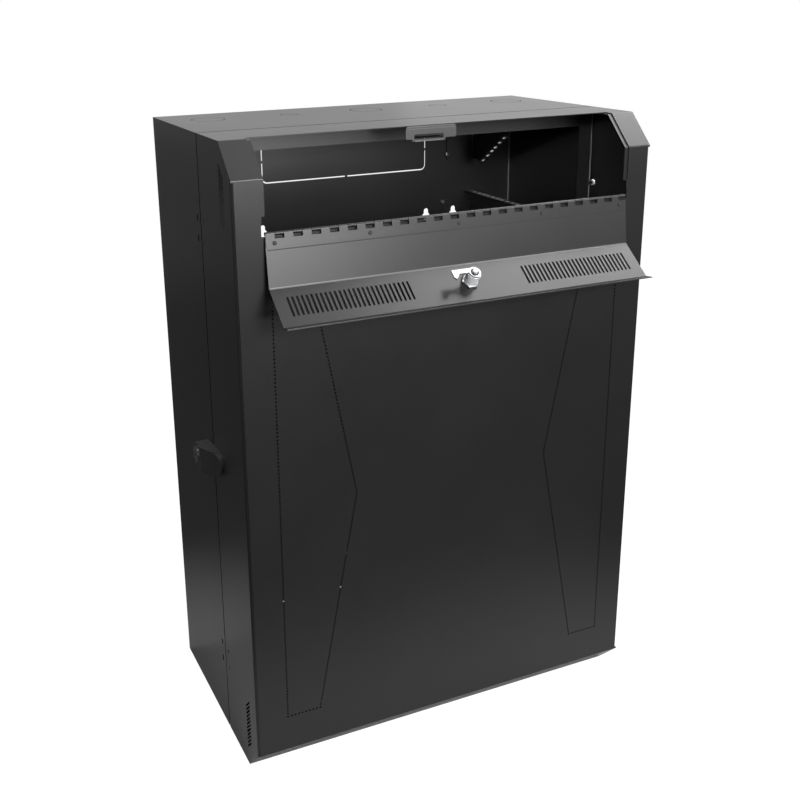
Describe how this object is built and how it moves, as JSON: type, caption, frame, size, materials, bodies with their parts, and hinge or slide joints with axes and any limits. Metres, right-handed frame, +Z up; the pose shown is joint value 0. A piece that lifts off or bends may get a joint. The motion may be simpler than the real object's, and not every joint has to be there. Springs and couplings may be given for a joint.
{
  "type": "wall mount network cabinet",
  "caption": "Low-profile wall cabinet for vertical rack equipment: a swing-out front half, an access flap on a piano hinge over the patch brackets, and key locks.",
  "frame": {"origin": "middle of the cabinet's wall face, on the face", "axes": "+X right as seen from the front, +Y into the wall, +Z up"},
  "size_m": [0.6667, 0.4437, 0.928],
  "materials": {
    "black_powder_coat": "satin black powder coat with a fine texture",
    "black_hinge": "satin black paint",
    "zinc": "bright zinc plate",
    "chrome_lock": "polished chrome plate",
    "cast_lock": "plain zinc casting",
    "black_plastic": "matte black plastic"
  },
  "bodies": {
    "wall_frame": {"back_panel": "black_powder_coat", "rear_side_left": "black_powder_coat", "rear_side_right": "black_powder_coat", "rear_top": "black_powder_coat", "rear_bottom": "black_powder_coat", "top_knockouts": "black_powder_coat", "bottom_knockouts": "black_powder_coat", "flange_ring": "black_powder_coat", "rail_right": "black_powder_coat", "rail_left": "black_powder_coat", "patch_bracket_right": "black_powder_coat", "patch_bracket_left": "black_powder_coat", "mount_screws": "zinc", "frame_hinge_leaf_lower": "black_hinge", "frame_hinge_leaf_upper": "black_hinge", "frame_hinge_bolts": "black_hinge", "frame_hinge_nuts": "zinc"},
    "door": {"door_shell": "black_powder_coat", "door_side_left": "black_powder_coat", "door_side_right": "black_powder_coat", "flap_stop_left": "black_powder_coat", "flap_stop_right": "black_powder_coat", "flap_strike": "black_powder_coat", "door_hinge_leaf_lower": "black_hinge", "door_hinge_leaf_upper": "black_hinge", "door_hinge_bolts": "black_hinge", "door_hinge_nuts": "zinc", "piano_leaf_fixed": "black_powder_coat", "piano_pin": "zinc", "piano_rivets_fixed": "black_hinge", "side_lock_housing": "black_plastic", "side_lock_ring": "chrome_lock"},
    "flap": {"flap_panel": "black_powder_coat", "piano_leaf_moving": "black_powder_coat", "piano_rivets_moving": "black_hinge", "flap_lock_barrel": "cast_lock", "flap_lock_nut": "zinc"},
    "flap_cam": {"cam_hook": "zinc", "cam_screw": "zinc", "flap_key_plug": "chrome_lock"},
    "side_key": {"side_key_plug": "chrome_lock"},
    "side_bolt": {"side_lock_bolt": "zinc"}
  },
  "joints": [
    {"name": "door_hinge", "type": "hinge", "parent": "wall_frame", "child": "door", "pos_m": [0.322, -0.2305, 0], "axis": [0, 0, 1], "range_deg": [0, 150]},
    {"name": "flap_hinge", "type": "hinge", "parent": "door", "child": "flap", "pos_m": [0, -0.3716, 0.35], "axis": [-1, 0, 0], "range_deg": [0, 173]},
    {"name": "flap_cam_turn", "type": "hinge", "parent": "flap", "child": "flap_cam", "pos_m": [0, -0.40524, 0.26144], "axis": [0, -0.6157, 0.788], "range_deg": [0, 90]},
    {"name": "side_key_turn", "type": "hinge", "parent": "door", "child": "side_key", "pos_m": [-0.3395, -0.2145, 0], "axis": [1, 0, 0], "range_deg": [0, 90]},
    {"name": "side_bolt_throw", "type": "slide", "parent": "door", "child": "side_bolt", "axis": [1, 0, 0], "range_m": [0, 0.008]}
  ],
  "couplings": [
    {"joint": "side_key_turn", "follows": "side_bolt_throw", "rad_per_m": 196.35}
  ]
}
